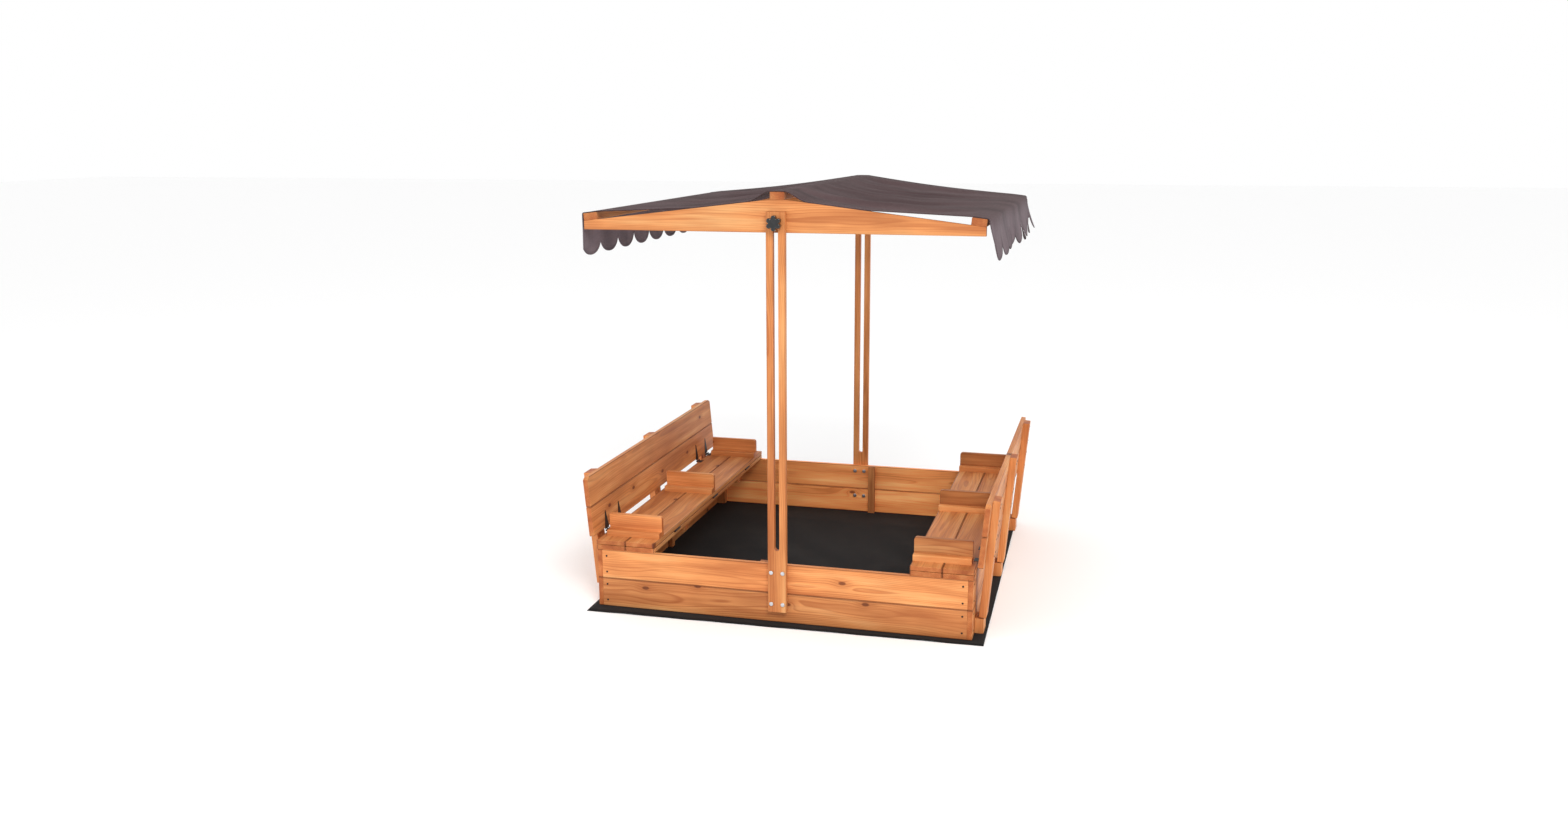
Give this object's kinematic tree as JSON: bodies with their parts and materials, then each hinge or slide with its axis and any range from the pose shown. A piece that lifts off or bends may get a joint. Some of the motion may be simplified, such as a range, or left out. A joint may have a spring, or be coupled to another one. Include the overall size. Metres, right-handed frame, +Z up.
{
  "type": "sandbox with cover",
  "caption": "Square wooden sandbox whose two folding lids open into bench seats with backrests, under a tilting fabric canopy on slotted posts.",
  "frame": {"origin": "centre of the underside of the ground liner", "axes": "+X to the right bench, +Y to the back post, +Z up"},
  "size_m": [1.31, 1.3082, 1.3037],
  "materials": {
    "stained_fir": "orange-brown stained fir, satin, open grain",
    "zinc_steel": "zinc-plated",
    "black_steel": "black painted, satin",
    "black_plastic": "moulded black, semi-gloss",
    "canopy_cloth": "plain-woven polyester, matt",
    "liner_cloth": "needled weed-proof cloth, matt"
  },
  "bodies": {
    "frame": {"ground_liner": "liner_cloth", "front_wall_lower_board": "stained_fir", "front_wall_upper_board": "stained_fir", "back_wall_lower_board": "stained_fir", "back_wall_upper_board": "stained_fir", "left_wall_lower_board": "stained_fir", "left_wall_upper_board": "stained_fir", "right_wall_lower_board": "stained_fir", "right_wall_upper_board": "stained_fir", "corner_posts": "stained_fir", "wall_cleats": "stained_fir", "wall_screws": "zinc_steel", "left_foot_blocks": "stained_fir", "right_foot_blocks": "stained_fir", "front_post": "stained_fir", "back_post": "stained_fir", "post_bolts": "zinc_steel", "post_washers": "zinc_steel", "post_nuts": "zinc_steel", "left_lid_inner_board": "stained_fir", "left_lid_outer_board": "stained_fir", "right_lid_inner_board": "stained_fir", "right_lid_outer_board": "stained_fir", "lid_cleats": "stained_fir", "left_lid_hinge_leaves": "black_steel", "right_lid_hinge_leaves": "black_steel", "lower_hinge_pins": "black_steel"},
    "left_seat": {"left_seat_inner_board": "stained_fir", "left_seat_outer_board": "stained_fir", "left_seat_dividers": "stained_fir", "left_divider_cleats": "stained_fir", "left_seat_hinge_leaves": "black_steel", "left_back_hinge_seat_leaves": "black_steel"},
    "left_backrest": {"left_backrest_lower_board": "stained_fir", "left_backrest_upper_board": "stained_fir", "left_backrest_battens": "stained_fir", "left_backrest_screws": "zinc_steel", "left_back_hinge_straps": "black_steel"},
    "right_seat": {"right_seat_inner_board": "stained_fir", "right_seat_outer_board": "stained_fir", "right_seat_dividers": "stained_fir", "right_divider_cleats": "stained_fir", "right_seat_hinge_leaves": "black_steel", "right_back_hinge_seat_leaves": "black_steel"},
    "right_backrest": {"right_backrest_lower_board": "stained_fir", "right_backrest_upper_board": "stained_fir", "right_backrest_battens": "stained_fir", "right_backrest_screws": "zinc_steel", "right_back_hinge_straps": "black_steel"},
    "carriage": {"slide_washers": "zinc_steel"},
    "canopy": {"front_gable": "stained_fir", "back_gable": "stained_fir", "ridge_rail": "stained_fir", "left_eave_rail": "stained_fir", "right_eave_rail": "stained_fir", "canopy_bolts": "zinc_steel", "canopy_fabric": "canopy_cloth"},
    "front_knob": {"front_knob": "black_plastic"},
    "back_knob": {"back_knob": "black_plastic"}
  },
  "joints": [
    {"name": "left_seat_fold", "type": "hinge", "parent": "frame", "child": "left_seat", "pos_m": [-0.3985, 0, 0.20195], "axis": [0, 1, 0], "range_deg": [0, 180]},
    {"name": "left_backrest_fold", "type": "hinge", "parent": "left_seat", "child": "left_backrest", "pos_m": [-0.597, 0, 0.2197], "axis": [0, -1, 0], "range_deg": [0, 85]},
    {"name": "right_seat_fold", "type": "hinge", "parent": "frame", "child": "right_seat", "pos_m": [0.3985, 0, 0.20195], "axis": [0, -1, 0], "range_deg": [0, 180]},
    {"name": "right_backrest_fold", "type": "hinge", "parent": "right_seat", "child": "right_backrest", "pos_m": [0.597, 0, 0.2197], "axis": [0, 1, 0], "range_deg": [0, 85]},
    {"name": "canopy_height", "type": "slide", "parent": "frame", "child": "carriage", "axis": [0, 0, 1], "range_m": [-0.48, 0]},
    {"name": "canopy_tilt", "type": "hinge", "parent": "carriage", "child": "canopy", "pos_m": [0, 0, 1.2146], "axis": [0, 1, 0], "range_deg": [-30, 30]},
    {"name": "front_knob_turn", "type": "hinge", "parent": "canopy", "child": "front_knob", "pos_m": [0, -0.64, 1.2146], "axis": [0, -1, 0], "continuous": true},
    {"name": "back_knob_turn", "type": "hinge", "parent": "canopy", "child": "back_knob", "pos_m": [0, 0.64, 1.2146], "axis": [0, 1, 0], "continuous": true}
  ],
  "couplings": [
    {"joint": "left_backrest_fold", "follows": "left_seat_fold", "ratio": 0.47222},
    {"joint": "right_backrest_fold", "follows": "right_seat_fold", "ratio": 0.47222}
  ]
}
